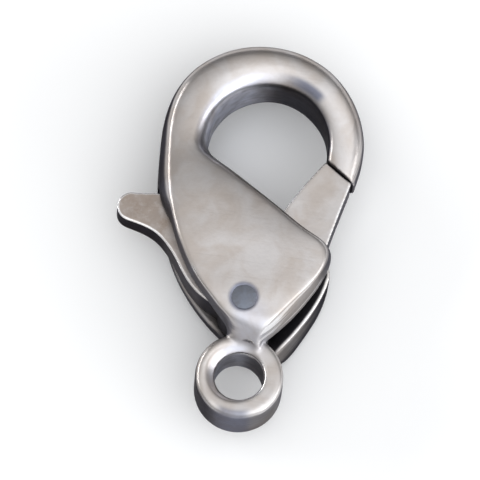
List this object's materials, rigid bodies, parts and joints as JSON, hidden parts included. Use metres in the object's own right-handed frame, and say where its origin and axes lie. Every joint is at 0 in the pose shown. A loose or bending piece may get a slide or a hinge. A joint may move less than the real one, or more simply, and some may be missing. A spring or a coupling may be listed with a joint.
{
  "type": "lobster clasp",
  "caption": "Lobster clasp with a rounded hook, domed cheeks, a sprung trigger with a thumb tab, a pivot pin and an end ring for a jump ring.",
  "frame": {"origin": "centre of the end ring's bore, at half its thickness", "axes": "+Z along the ring's bore, out of the front face; +Y from the ring to the top of the hook; +X towards the gate, with the thumb tab at -X"},
  "size_m": [0.0072, 0.012, 0.0034],
  "materials": {
    "body_steel": "cast stainless steel, tumbled to a soft polish",
    "trigger_steel": "pressed stainless steel, tumbled to a soft polish",
    "pin_steel": "dull pressed end of a steel pin",
    "spring_steel": "plain spring steel"
  },
  "bodies": {
    "clasp": {"body": "body_steel", "pin": "pin_steel", "spring": "spring_steel"},
    "trigger": {"trigger": "trigger_steel"}
  },
  "joints": [
    {"name": "trigger_hinge", "type": "hinge", "parent": "clasp", "child": "trigger", "pos_m": [-0.00019, 0.00225, 0], "axis": [0, 0, 1], "range_deg": [0, 24], "stiffness_Nm_per_rad": 0.008, "springref_deg": -17.19, "deforming": ["spring"]}
  ]
}
